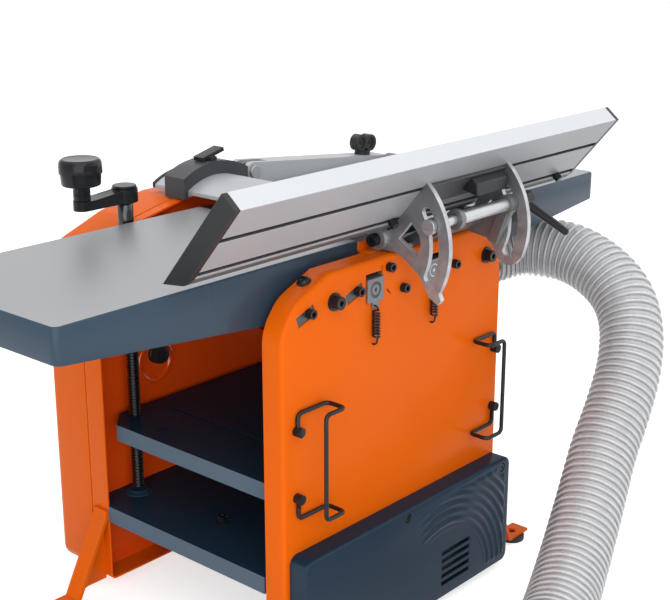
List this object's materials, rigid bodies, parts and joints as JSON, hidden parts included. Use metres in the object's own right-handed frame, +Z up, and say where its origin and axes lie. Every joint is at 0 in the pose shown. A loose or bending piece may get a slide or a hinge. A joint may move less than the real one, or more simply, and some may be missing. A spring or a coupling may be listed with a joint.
{
  "type": "combination planer thicknesser",
  "caption": "Bench planer thicknesser: planing tables over a cutter block, lift table below with crank, tilting fence on quadrants, bridge guard and ribbed dust hose.",
  "frame": {"origin": "centre of the four foot bolts on the floor plane", "axes": "+X along the tables from infeed to outfeed, -Y toward the fence side, +Z up"},
  "size_m": [0.7499, 0.6023, 0.4708],
  "materials": {
    "orange_paint": "textured gloss paint",
    "blue_paint": "gloss paint",
    "blue_cover": "moulded, gloss",
    "table_casting": "machined top, painted sides",
    "ground_steel": "ground",
    "knife_steel": "ground edge",
    "bearing_steel": "zinc plated",
    "black_rubber": "matt",
    "dark_iron": "painted",
    "bronze": "machined",
    "black_steel": "black oxide",
    "black_plastic": "fine grain",
    "clear_hose": "translucent grey",
    "bright_steel": "bright",
    "anodised": "anodised satin",
    "cast_aluminium": "as cast",
    "green_button": "gloss",
    "red_button": "gloss"
  },
  "bodies": {
    "frame": {"near_panel": "orange_paint", "far_panel": "orange_paint", "drive_cover": "orange_paint", "base_plate": "blue_paint", "foot_brackets": "orange_paint", "rubber_feet": "black_rubber", "lower_cover": "blue_cover", "outfeed_table": "table_casting", "table_block": "black_plastic", "cutter_bearings": "bearing_steel", "drive_belt": "black_rubber", "motor": "dark_iron", "roller_blocks": "bearing_steel", "roller_springs": "black_steel", "screw_bearing": "black_steel", "guide_columns": "ground_steel", "dust_hood": "black_plastic", "hood_knob": "black_plastic", "dust_hose": "clear_hose", "hose_clamp": "bright_steel", "hose_cuff": "black_plastic", "fence_bracket": "cast_aluminium", "pivot_bolts": "black_steel", "lock_rod": "ground_steel", "guard_bracket": "bearing_steel", "cord_hook_left": "black_steel", "cord_hook_right": "black_steel", "panel_bolts": "black_steel", "slot_plates": "black_steel", "switch_box": "black_plastic"},
    "cutter": {"cutter_block": "ground_steel", "cutter_knives": "knife_steel", "cutter_pulley": "bearing_steel"},
    "motor_rotor": {"motor_pulley": "bearing_steel"},
    "infeed_roller": {"infeed_roller": "ground_steel"},
    "outfeed_roller": {"outfeed_roller": "black_rubber"},
    "lift": {"thickness_table": "blue_paint", "lift_nut": "bronze"},
    "crank": {"lift_screw": "black_steel", "crank_arm": "black_plastic", "crank_cap": "black_plastic"},
    "crank_knob": {"crank_knob": "black_plastic"},
    "infeed_table": {"infeed_table": "table_casting"},
    "fence": {"fence_profile": "anodised", "fence_caps": "black_plastic", "sector_left": "cast_aluminium", "sector_right": "cast_aluminium", "tie_plate": "black_steel", "clamp_wing": "black_plastic", "fence_stops": "black_steel"},
    "lock_lever": {"lock_lever": "black_plastic"},
    "guard_arm": {"guard_arm": "anodised", "arm_pins": "bright_steel"},
    "saddle": {"guard_saddle": "black_plastic", "saddle_clip": "black_plastic"},
    "bridge": {"guard_bridge": "anodised", "bridge_caps": "black_plastic"},
    "wing_knob": {"wing_knob": "black_plastic"},
    "start_button": {"start_button": "green_button"},
    "stop_button": {"stop_button": "red_button"}
  },
  "joints": [
    {"name": "cutter_spin", "type": "hinge", "parent": "frame", "child": "cutter", "pos_m": [0, 0, 0.356], "axis": [0, 1, 0], "continuous": true},
    {"name": "motor_spin", "type": "hinge", "parent": "frame", "child": "motor_rotor", "pos_m": [0.064, 0.14, 0.048], "axis": [0, 1, 0], "continuous": true},
    {"name": "infeed_roller_spin", "type": "hinge", "parent": "frame", "child": "infeed_roller", "pos_m": [0.042, 0, 0.343], "axis": [0, 1, 0], "continuous": true},
    {"name": "outfeed_roller_spin", "type": "hinge", "parent": "frame", "child": "outfeed_roller", "pos_m": [-0.042, 0, 0.343], "axis": [0, 1, 0], "continuous": true},
    {"name": "crank_turn", "type": "hinge", "parent": "frame", "child": "crank", "pos_m": [-0.112, 0.115, 0.39], "axis": [0, 0, 1], "range_deg": [-1681, 6601]},
    {"name": "thickness_lift", "type": "slide", "parent": "frame", "child": "lift", "axis": [0, 0, 1], "range_m": [-0.055, 0.014]},
    {"name": "crank_knob_spin", "type": "hinge", "parent": "crank", "child": "crank_knob", "pos_m": [-0.162, 0.115, 0.42], "axis": [0, 0, 1], "continuous": true},
    {"name": "infeed_height", "type": "slide", "parent": "frame", "child": "infeed_table", "axis": [0, 0, 1], "range_m": [-0.002, 0.001]},
    {"name": "fence_tilt", "type": "hinge", "parent": "frame", "child": "fence", "pos_m": [0, -0.118, 0.3815], "axis": [1, 0, 0], "range_deg": [-40, 5]},
    {"name": "lock_lever_turn", "type": "hinge", "parent": "frame", "child": "lock_lever", "pos_m": [0.12, -0.17604, 0.40183], "axis": [1, 0, 0], "range_deg": [-70, 0]},
    {"name": "guard_arm_lift", "type": "hinge", "parent": "frame", "child": "guard_arm", "pos_m": [0.282, 0.129, 0.377], "axis": [0, 1, 0], "range_deg": [0, 15]},
    {"name": "saddle_level", "type": "hinge", "parent": "guard_arm", "child": "saddle", "pos_m": [0.0623, 0.129, 0.398], "axis": [0, 1, 0], "range_deg": [-15, 0]},
    {"name": "bridge_slide", "type": "slide", "parent": "saddle", "child": "bridge", "axis": [0, 1, 0], "range_m": [0, 0.11]},
    {"name": "wing_knob_turn", "type": "hinge", "parent": "guard_arm", "child": "wing_knob", "pos_m": [0.252, 0.1295, 0.38771], "axis": [0.1064, 0, 0.9943], "range_deg": [-170, 170]},
    {"name": "start_press", "type": "slide", "parent": "frame", "child": "start_button", "axis": [0, -1, 0], "range_m": [0, 0.003], "stiffness_N_per_m": 300, "springref_m": -0.002},
    {"name": "stop_press", "type": "slide", "parent": "frame", "child": "stop_button", "axis": [0, -1, 0], "range_m": [0, 0.003], "stiffness_N_per_m": 300, "springref_m": -0.002}
  ],
  "couplings": [
    {"joint": "motor_spin", "follows": "cutter_spin", "ratio": 0.65385},
    {"joint": "infeed_roller_spin", "follows": "cutter_spin", "ratio": -0.01},
    {"joint": "outfeed_roller_spin", "follows": "cutter_spin", "ratio": -0.01},
    {"joint": "crank_turn", "follows": "thickness_lift", "rad_per_m": -2094.4},
    {"joint": "saddle_level", "follows": "guard_arm_lift", "ratio": -1}
  ]
}
